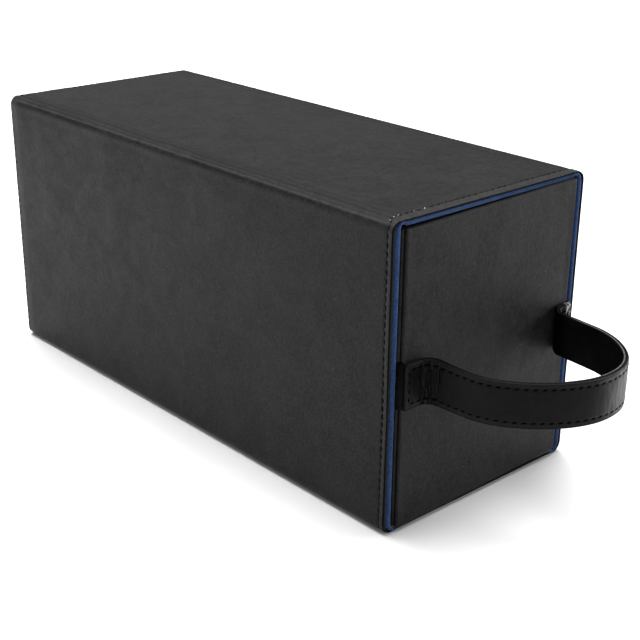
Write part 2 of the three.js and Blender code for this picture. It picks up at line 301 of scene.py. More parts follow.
class Shader:
    """A principled material with helpers for its procedural nodes."""

    def __init__(self, name, **constants):
        self.material = bpy.data.materials.new(name)
        self.material.use_nodes = True
        self.tree = self.material.node_tree
        self.surface = self.tree.nodes["Principled BSDF"]
        for socket, value in constants.items():
            self.surface.inputs[socket.replace("_", " ")].default_value = value
        self.place = self.add("ShaderNodeTexCoord", {}).outputs["Object"]

    def add(self, kind, sockets, **settings):
        """A node with its settings, and with values or other nodes' outputs on its sockets."""
        node = self.tree.nodes.new(kind)
        for key, value in settings.items():
            setattr(node, key, value)
        for key, value in sockets.items():
            if isinstance(value, bpy.types.NodeSocket):
                self.tree.links.new(value, node.inputs[key])
            else:
                node.inputs[key].default_value = value
        return node

    def stretched(self, scale):
        """Coordinates in metres, multiplied along each axis."""
        return self.add("ShaderNodeMapping", {"Vector": self.place, "Scale": scale}).outputs["Vector"]

    def axes(self):
        """The place's x, y and z, in metres."""
        return self.add("ShaderNodeSeparateXYZ", {"Vector": self.place}).outputs

    def noise(self, size_mm, detail=3.0, roughness=0.55, distortion=0.0, place=None):
        """Noise with features of about this size, from 0 to 1."""
        sockets = {"Vector": place or self.place, "Scale": 1000 / size_mm, "Detail": detail,
                   "Roughness": roughness, "Distortion": distortion}
        return self.add("ShaderNodeTexNoise", sockets).outputs["Fac"]

    def cells(self, size_mm):
        sockets = {"Vector": self.place, "Scale": 1000 / size_mm}
        return self.add("ShaderNodeTexVoronoi", sockets).outputs["Distance"]

    def twist(self, size_mm, distortion):
        """Slanting bands of about this size, from 0 to 1."""
        sockets = {"Vector": self.place, "Scale": 50 / size_mm, "Distortion": distortion}
        return self.add("ShaderNodeTexWave", sockets, bands_direction="DIAGONAL").outputs["Fac"]

    def spread(self, source, low, high, to_low=0.0, to_high=1.0):
        """The source's range from low to high, mapped smoothly on to another range."""
        sockets = {"Value": source, "From Min": low, "From Max": high, "To Min": to_low, "To Max": to_high}
        return self.add("ShaderNodeMapRange", sockets, interpolation_type="SMOOTHSTEP").outputs["Result"]

    def ramp(self, place, start, end, height=1.0):
        """From 0 at the start to this height at the end, which are places in millimetres."""
        return self.spread(place, start * MM, end * MM, 0, height)

    def maths(self, operation, first, second=0.0):
        return self.add("ShaderNodeMath", {0: first, 1: second}, operation=operation).outputs["Value"]

    def both(self, first, second):
        return self.maths("MULTIPLY", first, second)

    def either(self, first, second):
        return self.maths("MAXIMUM", first, second)

    def mixed(self, share, first, second):
        """A mix of two colours; a share or colour may be a value or a node's output."""
        return self.add("ShaderNodeMix", {0: share, 6: first, 7: second}, data_type="RGBA").outputs[2]

    def tones(self, source, low, high, dark, light):
        """The dark colour where the source is low and the light one where it is high."""
        return self.mixed(self.spread(source, low, high), dark, light)

    def finished(self, colour, rough, *bumps):
        """The material, given its colour, roughness and bumps: (height, depth in mm), coarsest first."""
        ends = {"Base Color": colour, "Roughness": rough}
        for height, depth in bumps:
            sockets = {"Distance": depth * MM, "Strength": 1.0, "Height": height}
            if "Normal" in ends:
                sockets["Normal"] = ends["Normal"]
            ends["Normal"] = self.add("ShaderNodeBump", sockets).outputs["Normal"]
        for socket, source in ends.items():
            self.tree.links.new(source, self.surface.inputs[socket])
        return self.material


def grey(value, tint=(1, 1, 1)):
    return (value * tint[0], value * tint[1], value * tint[2], 1)


LEATHER_LEVEL = 0.41


def leatherette_material(name="leatherette", streak=(1, 1, 1), painted_edge_light=True):
    """Suede-touch leatherette: charcoal, clouded, with a brushed nap and fine grain; optionally its edges
    and margins are painted lighter, the edges as highlights, and the top's valleys are painted darker as
    shade.
    """
    shader = Shader(name, Specular_IOR_Level=0.1)
    clouds = shader.noise(38, detail=8, roughness=0.66, distortion=1.8)
    patches = shader.noise(13, detail=8, roughness=0.68, distortion=1.0)
    nap = shader.noise(3.4, detail=6, roughness=0.74, distortion=0.5, place=shader.stretched(streak))
    grain = shader.noise(0.9, detail=4, roughness=0.82)
    tone = grey(0.0)
    for layer, share, high, dark, light in (
        (clouds, 1.0, 0.58, 0.0015, 0.03),
        (patches, 0.52, 0.58, 0.0005, 0.036),
        (nap, 0.3, 0.6, 0.0002, 0.042),
        (grain, 0.32, 0.6, 0.0002, 0.07),
    ):
        own = shader.tones(layer, 0.42, high, grey(dark * LEATHER_LEVEL), grey(light * LEATHER_LEVEL))
        tone = shader.mixed(share, tone, own)
    if painted_edge_light:
        # Painted highlights on the edges, lighter margins, and painted shade in the top's valleys.
        painted_highlight, valleys = edge_highlight_and_valley_shade(shader)
        tone = shader.mixed(valleys, tone, grey(0.0))
        tone = shader.mixed(shader.both(painted_highlight, shader.spread(nap, 0.3, 0.6, 0.5)), tone, grey(0.075))
    dust = shader.spread(shader.noise(1.2, detail=1, roughness=0.5), 0.78, 0.83, 0, 0.4)
    tone = shader.mixed(dust, tone, grey(0.12))
    rough = shader.spread(patches, 0.32, 0.68, 0.42, 0.56)
    rough = shader.maths("ADD", rough, shader.spread(nap, 0.3, 0.7, 0, 0.1))
    pores = shader.noise(0.35, detail=3, roughness=0.7)
    return shader.finished(tone, rough, (patches, 0.25), (nap, 0.14), (grain, 0.1), (pores, 0.05))


def edge_highlight_and_valley_shade(shader):
    """How much the skin is painted lighter, as highlights at the edges and as lighter bands at the margins,
    and how dark the valleys of the top are painted as shade.
    """
    ramp, both, either = shader.ramp, shader.both, shader.either
    x, y, z = shader.axes()
    out = shader.maths("ABSOLUTE", x)

    # Painted highlights on the long edges at the top and the foot, and on the back's edges at the sides and
    # the top.
    reach = 2.1
    across = ramp(out, HALF - reach, HALF - 0.9)
    back = ramp(y, BACK - reach, BACK - 0.6)
    top = ramp(z, TOP - reach, TOP - 0.9)
    foot = ramp(z, 3.0, 0.4)
    edge = both(across, either(back, either(top, foot)))
    edge = both(either(edge, both(back, top)), 0.7)

    # Lighter bands at the back of the sides and between the mouth's seam and the mouth.
    side = ramp(out, HALF - 2.0, HALF - 0.8)
    on_top = ramp(z, TOP - 2.2, TOP - 1.2)
    back_band = ramp(y, BACK - 10, BACK - 6, 0.3)
    mouth_band = ramp(y, MOUTH + SIDE_SEAM - 0.2, MOUTH + SIDE_SEAM - 0.7, 0.2)
    top_band = ramp(y, MOUTH + TOP_SEAM - 0.4, MOUTH + TOP_SEAM - 1.0, 0.16)
    bands = either(both(side, either(back_band, mouth_band)), both(on_top, top_band))

    # Painted shade in two wandering valleys beside the top's long edges, which fades towards the mouth.
    place = shader.maths("ADD", out, both(shader.noise(30, detail=1), 2.4 * MM))
    valley_shade = both(ramp(place, HALF - 6.2, HALF - 4.4), ramp(place, HALF - 2.2, HALF - 3.6))
    second = both(ramp(place, HALF - 9.6, HALF - 8.0), ramp(place, HALF - 6.4, HALF - 7.4, 0.6))
    behind_seam = ramp(y, MOUTH + 7, MOUTH + 16, 0.55)
    return either(edge, bands), both(both(either(valley_shade, second), on_top), behind_seam)


STRAP_MIDDLE = (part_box("strap_face")[0].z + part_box("strap_face")[1].z) / 2 / MM
ACROSS_STRAP = (1, 1, 0.13)
# The colour of painted glints.
PAINTED_GLINT = grey(0.3)


def fold_top(shader, z):
    """1 at the upper edge of the strap's fold, where the painted glints go, 0 below."""
    return shader.ramp(z, STRAP_MIDDLE + 4, STRAP_MIDDLE + 6.5)


def with_painted_sheen(shader, tone, clouds, free):
    """The strap's face: paler borders and left end, and a painted highlight on its right end where it is
    seen at a slant.
    """
    x, _, z = shader.axes()
    from_middle = shader.maths("ABSOLUTE", shader.maths("SUBTRACT", z, STRAP_MIDDLE * MM))
    border = shader.either(shader.ramp(from_middle, 7.2, 8.0), shader.ramp(x, -48.4, -49.4))
    border = shader.both(border, shader.spread(clouds, 0.3, 0.6, 0.3, 0.8))
    tone = shader.mixed(border, tone, grey(0.009))
    # Painted highlight: lighter where the face is seen at a slant, only towards the right and away from the
    # panel.
    glance = shader.add("ShaderNodeLayerWeight", {"Blend": 0.5})
    slant_highlight = shader.spread(glance.outputs["Facing"], 0.24, 0.86)
    slant_highlight = shader.both(slant_highlight, shader.both(free, shader.ramp(x, -20, 10)))
    streaks = shader.noise(1.3, detail=4, roughness=0.6, place=shader.stretched(ACROSS_STRAP))
    return shader.mixed(slant_highlight, tone, shader.tones(streaks, 0.4, 0.6, grey(0.06), grey(0.14)))


def strap_material(name="strap_leather", edge=False, bloom=True):
    """Smooth black leatherette: fine pebble grain and a soft sheen, with painted light: an optional pale
    edge line and a highlight on the slanting right end, shade on the right fold and glints beyond it.
    """
    shader = Shader(name, Specular_IOR_Level=0.06)
    clouds = shader.noise(7, detail=5, roughness=0.6, distortion=0.4)
    pebble = shader.cells(0.55)
    pores = shader.noise(0.3, detail=3, roughness=0.7)
    tone = shader.tones(clouds, 0.32, 0.7, grey(0.001), grey(0.005))
    tone = shader.mixed(0.3, tone, shader.tones(pores, 0.3, 0.72, grey(0.0), grey(0.01)))
    x, y, z = shader.axes()
    free = shader.ramp(y, MOUTH - 10, MOUTH - 17)
    # Painted highlight: a pale edge line, brighter towards the right and away from the panel.
    if edge:
        pale = shader.mixed(shader.both(shader.ramp(x, -20, 26), free), grey(0.022), grey(0.22))
        tone = shader.mixed(shader.spread(clouds, 0.3, 0.6, 0.4), tone, pale)
    # Paler borders, and a painted highlight on the strap's right end where it is seen at a slant.
    if bloom:
        tone = with_painted_sheen(shader, tone, clouds, free)
    # The right fold behind the loop is painted nearly black as shade, and the strap's end beyond it gets
    # painted glints at its top.
    fold = shader.both(shader.ramp(x, 35, 37, 0.95), shader.ramp(y, MOUTH - 11, MOUTH - 7))
    tone = shader.mixed(fold, tone, grey(0.0003))
    creased = shader.spread(shader.noise(2.6, detail=3, roughness=0.6, distortion=1.5), 0.45, 0.55, 0.1)
    painted_glint_share = shader.both(shader.ramp(x, 47.4, 48.2), shader.both(creased, fold_top(shader, z)))
    tone = shader.mixed(painted_glint_share, tone, PAINTED_GLINT)
    rough = shader.maths("ADD", shader.spread(clouds, 0.3, 0.7, 0.36, 0.5), shader.both(pores, 0.12))
    across = shader.stretched(ACROSS_STRAP)
    wrinkles = shader.noise(1.5, detail=4, roughness=0.6, distortion=0.4, place=across)
    return shader.finished(tone, rough, (clouds, 0.06), (wrinkles, 0.16), (pebble, 0.035), (pores, 0.02))


def fold_gloss_and_glint_material():
    """The strap's end where it is stretched round the panel's edge: thin, creased and glossy, with painted
    glints at its top.
    """
    shader = Shader("fold_gloss_and_glint", Specular_IOR_Level=0.3)
    creases = shader.noise(2.6, detail=3, roughness=0.6, distortion=1.5)
    painted_glint_share = shader.both(shader.spread(creases, 0.46, 0.56), fold_top(shader, shader.axes()["Z"]))
    tone = shader.mixed(painted_glint_share, grey(0.004), PAINTED_GLINT)
    return shader.finished(tone, shader.spread(creases, 0.3, 0.7, 0.3, 0.5), (creases, 0.25))


def cut_edge_material():
    """The cut edge of the leatherette: dark skin over a brown-grey backing."""
    shader = Shader("cut_edge", Specular_IOR_Level=0.08)
    brown = (1.15, 1, 0.95)
    fibres = shader.noise(0.5, detail=4, roughness=0.7)
    tone = shader.tones(fibres, 0.3, 0.7, grey(0.003, brown), grey(0.02, brown))
    return shader.finished(tone, shader.spread(fibres, 0.2, 0.8, 0.65, 0.9), (fibres, 0.08))


def dark_edge_and_shade_material():
    """Nearly black: the skin's turn at the mouth's edge, and painted shade on the cut edge away from the
    left wall, on the tray's front and on the strap's left tail.
    """
    shader = Shader("dark_edge_and_shade", Specular_IOR_Level=0.04)
    grain = shader.noise(0.5, detail=4, roughness=0.7)
    tone = shader.tones(grain, 0.3, 0.7, grey(0.0005), grey(0.003))
    return shader.finished(tone, shader.spread(grain, 0.2, 0.8, 0.6, 0.8), (grain, 0.05))


def microfibre_material():
    """Brushed blue microfibre: short nap, soft patches, pale bloom at grazing angles."""
    shader = Shader("microfibre", Specular_IOR_Level=0.15, Sheen_Weight=0.25, Sheen_Roughness=0.4,
                    Sheen_Tint=(0.45, 0.6, 1.0, 1))
    patches = shader.noise(4.5, detail=5, roughness=0.65, distortion=0.7)
    nap = shader.noise(0.9, detail=4, roughness=0.78)
    fibres = shader.noise(0.35, detail=3, roughness=0.7)
    tone = shader.tones(patches, 0.32, 0.7, (0.004, 0.015, 0.058, 1), (0.011, 0.034, 0.1, 1))
    brushed = shader.tones(nap, 0.3, 0.7, (0.002, 0.006, 0.03, 1), (0.042, 0.086, 0.2, 1))
    tone = shader.mixed(0.45, tone, brushed)
    rough = shader.spread(nap, 0.2, 0.8, 0.8)
    return shader.finished(tone, rough, (patches, 0.1), (nap, 0.14), (fibres, 0.07))


def thread_material(name="thread", gloss=0.12, painted_highlight=False):
    """Bonded black thread with its twist; a few stitches on the top near the left corner carry painted
    glints.
    """
    shader = Shader(name, Specular_IOR_Level=gloss)
    twist = shader.twist(0.35, distortion=1.5)
    tone = shader.tones(shader.noise(0.3, detail=2), 0.3, 0.7, grey(0.0005), grey(0.002))
    # Painted glints on a few stitches of the top, near its left corner at the mouth.
    if painted_highlight:
        x, y, z = shader.axes()
        corner = shader.both(shader.ramp(x, 36 - HALF, 26 - HALF), shader.ramp(y, MOUTH + 12, MOUTH + 9))
        corner = shader.both(corner, shader.ramp(z, TOP - 2.4, TOP - 1.6))
        spots = shader.spread(shader.noise(1.1, detail=1), 0.58, 0.64)
        tone = shader.mixed(shader.both(corner, spots), tone, PAINTED_GLINT)
    return shader.finished(tone, shader.spread(twist, 0, 1, 0.45, 0.7), (twist, 0.08))


def greyboard_material():
    """Pressed grey board with flecks, hidden under the covers."""
    shader = Shader("greyboard", Specular_IOR_Level=0.2)
    pulp = shader.noise(1.4, detail=6, roughness=0.7, distortion=0.5)
    tone = shader.tones(pulp, 0.3, 0.7, (0.2, 0.19, 0.17, 1), (0.34, 0.325, 0.3, 1))
    flecks = shader.spread(shader.cells(0.9), 0.05, 0.2, 0.5, 0)
    tone = shader.mixed(flecks, tone, (0.1, 0.095, 0.09, 1))
    return shader.finished(tone, shader.spread(pulp, 0.2, 0.8, 0.8, 0.95), (pulp, 0.08))


def studio_material():
    shader = Shader("studio_paper", Specular_IOR_Level=0.1)
    mottle = shader.noise(60, detail=3)
    tone = shader.tones(mottle, 0.3, 0.7, grey(0.86), grey(0.88))
    return shader.finished(tone, shader.spread(mottle, 0.3, 0.7, 0.85, 0.95))


LEATHERETTE = leatherette_material()
PANEL_LEATHERETTE = leatherette_material("panel_leatherette", streak=(1.3, 1, 0.35), painted_edge_light=False)
STRAP_LEATHER = strap_material()
STRAP_LINER = strap_material("strap_liner", bloom=False)
STRAP_EDGE_HIGHLIGHT = strap_material("strap_edge_highlight", edge=True)
CUT_EDGE = cut_edge_material()
DARK_EDGE_AND_SHADE = dark_edge_and_shade_material()
MICROFIBRE = microfibre_material()
THREAD = thread_material(painted_highlight=True)
STRAP_THREAD = thread_material("strap_thread", gloss=0.0)
FOLD_GLOSS_AND_GLINT = fold_gloss_and_glint_material()
GREYBOARD = greyboard_material()


# ---------------------------------------------------------------- camera, light and floor


def make_camera():
    """A camera at the box's front left, a little above it."""
    azimuth, elevation, roll = math.radians(-42.298), math.radians(22.184), math.radians(0.663)
    aim = Vector((11.86, -24.95, 40.31)) * MM
    distance = 618.4 * MM
    back = Vector((
        math.sin(azimuth) * math.cos(elevation),
        -math.cos(azimuth) * math.cos(elevation),
        math.sin(elevation),
    ))
    data = bpy.data.cameras.new("camera")
    data.sensor_width = 36
    data.lens = 71.58
    data.clip_start, data.clip_end = 0.01, 50
    camera = bpy.data.objects.new("camera", data)
    turn = (-back).to_track_quat("-Z", "Y").to_matrix().to_4x4() @ Matrix.Rotation(roll, 4, "Z")
    camera.matrix_world = Matrix.Translation(aim + back * distance) @ turn
    scene.collection.objects.link(camera)
    scene.camera = camera


def make_light(name, kind, way, energy, place=(0, 0, 0), **settings):
    """A light that shines along a direction."""
    data = bpy.data.lights.new(name, kind)
    data.energy = energy
    for key, value in settings.items():
        setattr(data, key, value)
    light = bpy.data.objects.new(name, data)
    light.location = place
    light.rotation_mode = "QUATERNION"
    light.rotation_quaternion = Vector(way).to_track_quat("-Z", "Y")
    scene.collection.objects.link(light)


SURROUND_LIGHT = 0.38
FLOOR_REACH = 12.0
FLOOR_GAP = 0.0002


def make_studio():
    """A pale floor under a dim even surround, with soft light from above, the right and the back left."""
    world = bpy.data.worlds.new("surround")
    world.use_nodes = True
    background = world.node_tree.nodes["Background"].inputs
    background["Color"].default_value = (1, 1, 1, 1)
    background["Strength"].default_value = SURROUND_LIGHT
    scene.world = world
    scene.view_settings.view_transform = "Standard"
    mesh = bpy.data.meshes.new("floor")
    corners = [(x * FLOOR_REACH, y * FLOOR_REACH, 0) for x, y in ((-1, -1), (1, -1), (1, 1), (-1, 1))]
    mesh.from_pydata(corners, [], [(0, 1, 2, 3)])
    mesh.materials.append(studio_material())
    floor = bpy.data.objects.new("floor", mesh)
    floor.location.z = -FLOOR_GAP
    scene.collection.objects.link(floor)
    make_light("key_light", "SUN", (-0.1, -0.28, -1), 5.6, angle=math.radians(50))
    make_light("right_light", "SUN", (-0.85, 0.55, -0.1), 2.2, angle=math.radians(26))
    make_light("back_left_light", "AREA", (0.26, -0.12, 0), 0.3, place=(-0.32, 0.2, 0.02),
               shape="RECTANGLE", size=0.45, size_y=0.03)


# ---------------------------------------------------------------- sleeve


def top_share(outline):
    """1 along the top, 0 round the rest, with a smooth change after the top corners."""
    from_corner = HALF - np.abs(outline.at(0)[:, 0])
    return smooth_step(0.0, 6.5, from_corner) * (outline.side == 2)


def sleeve_relief(points, outline, seam_front, y_back):
    """How far the sleeve's skin stands out from its plain surface, by place."""
    y_front = LENGTH - y_back
    near, side = outline.near[None, :], outline.side[None, :]
    flat = smooth_step(2.0, 6.0, near)
    raised = 0.05 * ripple(points, 34, 11) * flat + 0.025 * ripple(points, 9, 12) * flat
    seam_free = smooth_step(4.0, 9.0, y_front) * smooth_step(3.0, 8.0, y_back)
    # Soft valleys along the long edges of the top and the bottom of the sides.
    wander = 0.35 * np.sin(y_front / 31.0) + 0.2 * np.sin(y_front / 11.0 + 1.0)
    valleys = 0.5 * hollow(near, 5.2 + wander, 1.5) + 0.28 * hollow(near, 8.8 + 1.4 * wander, 1.7)
    valleys = valleys + 0.17 * hollow(near, 15.0 + 1.6 * wander, 3.6)
    raised = raised - valleys * (side == 2) * (0.45 + 0.55 * seam_free)
    low_valley = 0.12 * hollow(near, 6.5 + wander, 3.0)
    raised = raised - low_valley * ((side == 1) | (side == 3)) * seam_free
    # The seam is drawn down round the mouth, with a full margin in front of it.
    raised = raised - SEAM_DRAW * hollow(seam_front, 0, 0.9)
    raised = raised + 0.12 * hollow(seam_front, -1.4, 1.4) - 0.1 * smooth_step(6.0, 1.0, seam_front)
    raised = raised - 0.3 * smooth_step(-1.3, -2.9, seam_front) ** 2
    raised = raised - BACK_DRAW * hollow(y_back, BACK_SEAM, 0.8)
    return raised


def edge_thickness(outline):
    """How thick the cover is pared at the mouth: thin at the top and the bottom, full at the sides."""
    sides = np.abs(outline.outward[:, 0]) ** 2
    from_corner = HALF - np.abs(outline.at(0)[:, 0])
    floor = (outline.side == 0) * smooth_step(7.5, 10.5, from_corner)
    return 0.62 + 0.83 * np.maximum(sides, floor)


def make_sleeve_skin():
    """The sleeve's cover: a tube of leatherette whose back edge is turned over on to the end."""
    outline = Outline((-HALF, 0), (HALF, TOP), EDGE_RADIUS, fine=0.45, coarse=1.75, zone=19)
    back_round = 2.2 + 0.9 * np.abs(outline.outward[:, 0])
    edge = edge_thickness(outline)
    seam_shift = (TOP_SEAM - SIDE_SEAM) * top_share(outline)
    rings, outer, seam_front, back_gap = [], [], [], []

    def ring(depth, inset, shown=0.0):
        flat = outline.at(inset)
        depth = np.broadcast_to(depth, len(flat)).astype(float)
        shift = seam_shift * shown * smooth_step(0.5, 2.4, depth) * smooth_step(15.0, 5.0, depth)
        seam_front.append(depth - SIDE_SEAM)
        back_gap.append(LENGTH - depth)
        outer.append(shown)
        rings.append(np.column_stack([flat[:, 0], MOUTH + depth + shift, flat[:, 1]]))

    for depth, inset in ((LENGTH - 1.6, COVER_THICK), (16.0, COVER_THICK), (9.0, COVER_THICK)):
        ring(depth, inset)
    pared = ((4.0, 1.0), (0.5, 1.0), (0.12, 0.95), (0.0, 0.8), (0.02, 0.55), (0.14, 0.46), (0.02, 0.38))
    for depth, share in pared:
        ring(depth, edge * share)
    for depth, inset in ((0.0, 0.24), (0.1, 0.12), (0.3, 0.03)):
        ring(depth, np.minimum(inset, edge * 0.3), 0.5)
    front = [0.6, 0.9, 1.2, 1.5, 1.8, 2.05, 2.25, 2.45, 2.65, 2.85, 3.05, 3.25, 3.5, 3.8,
             4.2, 4.8, 5.6, 6.6, 7.9]
    middle = [9.6, 12.0] + list(np.arange(14.5, LENGTH - 13, 2.4))
    rear = [12.0, 9.5, 7.6, 6.2, 5.0, 4.3]
    for depth in front + middle + [LENGTH - y for y in rear]:
        ring(depth, 0.0, 1.0)
    for share in np.linspace(0, 1, 5)[1:-1]:
        ring(LENGTH - 4.3 + (4.3 - back_round) * share, 0.0, 1.0)
    for turn in np.linspace(0, math.pi / 2, 9):
        ring(LENGTH - back_round * (1 - math.sin(turn)), back_round * (1 - math.cos(turn)), math.cos(turn))
    hem = ((0, 4.2), (0, 5.6), (0, 7.2), (0, HEM - 0.5), (0.15, HEM - 0.1), (0.5, HEM), (1.3, HEM))
    for depth, inset in hem:
        ring(LENGTH - depth, inset)

    rings = np.array(rings)
    relief = sleeve_relief(rings, outline, np.array(seam_front), np.array(back_gap))
    underneath = (outline.side == 0)[None, :] * smooth_step(0.5, 3.0, outline.near)[None, :]
    relief = np.where(relief > 0, relief * 0.6 * (1 - underneath), relief)
    way = np.zeros_like(rings)
    way[:, :, 0], way[:, :, 2] = outline.outward[:, 0], outline.outward[:, 1]
    rings = rings + way * (relief * np.array(outer)[:, None])[:, :, None]
    rings[:, :, 2] = np.maximum(rings[:, :, 2], 0)
    piece = make_piece("sleeve_leatherette", loft(rings, loop=True), LEATHERETTE, "sleeve",
                       ["sleeve_cover"])
    paint_mouth(piece, outline)
    return outline


def paint_mouth(piece, outline):
    """The cut edge's brown-grey backing on the left wall, where the light reaches it; elsewhere the cut edge
    is painted nearly black as shade, and the skin's turn at the edge is nearly black all round.
    """
    inner_ring, cut_ring, skin_ring = 3, 8, 13
    for material in (CUT_EDGE, DARK_EDGE_AND_SHADE):
        piece.data.materials.append(material)
    size = len(outline.base)
    for face in piece.data.polygons:
        rows = [v // size for v in face.vertices]
        left = outline.outward[face.vertices[0] % size, 0] < -0.6
        if inner_ring <= min(rows) and max(rows) <= cut_ring:
            face.material_index = 1 if left else 2
        elif cut_ring <= min(rows) and max(rows) <= skin_ring:
            face.material_index = 2


def make_sleeve_stitches(outline):
    """The rows of stitches round the mouth and the back edge."""
    size = len(outline.base)
    way = np.column_stack([outline.outward[:, 0], np.zeros(size), outline.outward[:, 1]])
    front = SIDE_SEAM + (TOP_SEAM - SIDE_SEAM) * top_share(outline)
    for name, depth, drawn, stands_for in (
        ("mouth_stitches", front, SEAM_DRAW - 0.02, "mouth_thread"),
        ("back_stitches", LENGTH - BACK_SEAM, BACK_DRAW, "back_thread"),
    ):
        ring = outline.at(drawn)
        path = np.column_stack([ring[:, 0], MOUTH + depth * np.ones(size), ring[:, 1]])
        points, faces = stitch_row(path, way, PITCH, 0.42, share=0.64, slant=0.2, closed=True, rise=0.1)
        points[:, 2] = np.maximum(points[:, 2], 0.02)
        make_piece(name, (points, faces), THREAD, "sleeve", [stands_for])


def make_back_panel():
    """The leatherette panel that closes the back, laid inside the turned-over hem."""
    hem = HEM + 0.3

    def relief(x, z, inside):
        return board_ripple(x, z, 0.04, 21)

    points, faces = slab((-HALF + hem, hem), (HALF - hem, TOP - hem), 1.1, 1.2, 0.5, 2.0, relief)
    placed = np.stack([points[:, 0], BACK - 0.15 - points[:, 2], points[:, 1]], -1)
    make_piece("back_panel", (placed, faces), LEATHERETTE, "sleeve", ["back_cover"])


# ---------------------------------------------------------------- lining of the sleeve


LINING_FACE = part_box("lining_left")[1].x / MM + HALF
TOP_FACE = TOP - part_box("lining_top")[0].z / MM
FLOOR_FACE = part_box("lining_floor")[1].z / MM


def lining_path():
    """The rolled edge's way round the left half of the mouth, from the floor's middle to the top's.

    Each station is x from the left outside, z, half the thickness, the direction of the inside in
    degrees, and how far the roll stands out.
    """
    floor = [(x, 1.85, 0.4, 90, -1.6) for x in np.arange(HALF, 11.0, -2.5)] + [(10.6, 1.75, 0.4, 90, -1.4)]
    low_corner = [(9.2, 1.3, 0.42, 90, -0.4), (7.6, 1.0, 0.45, 88, 0.2), (5.6, 1.15, 0.5, 80, 0.4),
                  (4.7, 1.5, 0.62, 66, 0.45), (4.0, 2.1, 0.8, 48, 0.5), (3.5, 2.9, 1.05, 28, 0.5),
                  (3.2, 3.9, 1.3, 10, 0.5), (3.05, 5.0, 1.45, 0, 0.5)]
    wall = [(3.05, z, 1.45, 0, 0.5) for z in np.arange(7.0, TOP - 8, 2.2)]
    high_corner = [(3.05, 6.2, 1.45, 0, 0.5), (3.1, 4.9, 1.45, 0, 0.5), (3.2, 3.8, 1.38, -6, 0.45),
                   (3.35, 2.9, 1.2, -20, 0.4), (3.6, 2.2, 0.95, -36, 0.35), (4.0, 1.65, 0.78, -50, 0.3),
                   (4.55, 1.22, 0.66, -62, 0.25), (5.2, 0.95, 0.54, -74, 0.2), (5.9, 0.85, 0.46, -90, 0.15),
                   (6.5, 0.98, 0.58, -106, 0.15), (7.1, 1.3, 0.78, -112, 0.2), (7.8, 1.55, 0.92, -104, 0.25),
                   (8.8, 1.62, 0.96, -94, 0.25)]
    high_corner = [(x, TOP - z, half, turn, out) for x, z, half, turn, out in high_corner]
    top = [(x, TOP - 1.62, 0.96, -90, 0.25) for x in np.arange(10.5, HALF + 0.1, 2.5)]
    return {"floor": floor, "low": low_corner, "wall": wall, "high": high_corner, "top": top}


def lining_section(x, z, half, turn, out, seed):
    """The lining's closed section at one station: under the cover, round the roll, along the inside."""
    way = np.array([math.cos(math.radians(turn)), math.sin(math.radians(turn))])
    centre = np.array([x - HALF, z])
    inside_low = np.array([-HALF + LINING_FACE, FLOOR_FACE])
    inside_high = np.array([HALF - LINING_FACE, TOP - TOP_FACE])
    target = np.clip(centre + way * half, inside_low, inside_high)
    gaps = np.abs(np.concatenate([target - inside_low, inside_high - target]))
    if gaps.min() > 1e-6:
        nearest = int(gaps.argmin())
        target[nearest % 2] = (inside_low if nearest < 2 else inside_high)[nearest % 2]
    thick = 0.32
    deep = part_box("lining_left")[1].y / MM - MOUTH
    swell = 0.05 * math.sin(seed * 1.9) + 0.04 * math.sin(seed * 0.73 + 1.0)
    points = []

    def put(across, depth, share):
        flat = centre + way * across
        spot = flat * (1 - share) + (target + way * (across - half)) * share
        points.append((spot[0], MOUTH + depth, spot[1]))

    outer, inner = half + swell * 0.4, max(half - thick, 0.1)
    nose = half * 0.95
    start = nose - out
    put(-half, start + 3.2, 0)
    for angle in np.linspace(-90, 90, 15):
        lean = math.radians(angle)
        put(outer * math.sin(lean), start + 0.05 - (nose + swell * 0.4) * math.cos(lean), 0)
    inside_rows = (3.0, 4.5, 6.5, 9.0, 14.0, 30.0, 90.0, 180.0, deep)
    for depth in inside_rows:
        put(half, depth, float(smooth_step(1.5, 8.0, depth)))
    for depth in inside_rows[::-1]:
        put(half - thick, depth, float(smooth_step(1.5, 8.0, depth)))
    for angle in np.linspace(90, -90, 7):
        lean = math.radians(angle)
        put(inner * math.sin(lean), start + 0.3 - (nose - 0.1) * math.cos(lean) * 0.7, 0)
    put(-half + thick * 0.8, start + 3.2, 0)
    return points


def make_sleeve_lining():
    """Blue lining turned round the front edge of each wall, with the folds it makes in the corners."""
    parts = lining_path()
    runs = {
        "floor": parts["floor"] + parts["low"][:3],
        "left": parts["low"][2:] + parts["wall"] + parts["high"][:9],
        "top": parts["high"][8:] + parts["top"],
    }

    def sections(run, mirror=False):
        made = []
        for k, (x, z, half, turn, out) in enumerate(run):
            if mirror and turn < -80:
                out = min(out, 0.0)
            section = np.array(lining_section(x, z, half, turn, out, k + x))
            if mirror:
                section = section * (-1, 1, 1)
            made.append(section)
        return made

    left = sections(runs["left"])
    right = sections(runs["left"], mirror=True)
    top = sections(runs["top"]) + sections(runs["top"], mirror=True)[::-1][1:]
    floor = sections(runs["floor"])[::-1] + sections(runs["floor"], mirror=True)[1:]
    for name, made in (("left", left), ("right", right), ("top", top), ("floor", floor)):
        make_piece("sleeve_lining_" + name, loft(made), MICROFIBRE, "sleeve",
                   ["lining_" + name])


# ---------------------------------------------------------------- drawer


TRAY_LOW, TRAY_HIGH = in_mm(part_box("tray_cover"))
TRAY_WALL = TRAY_HIGH[0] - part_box("tray_lining_right")[0].x / MM


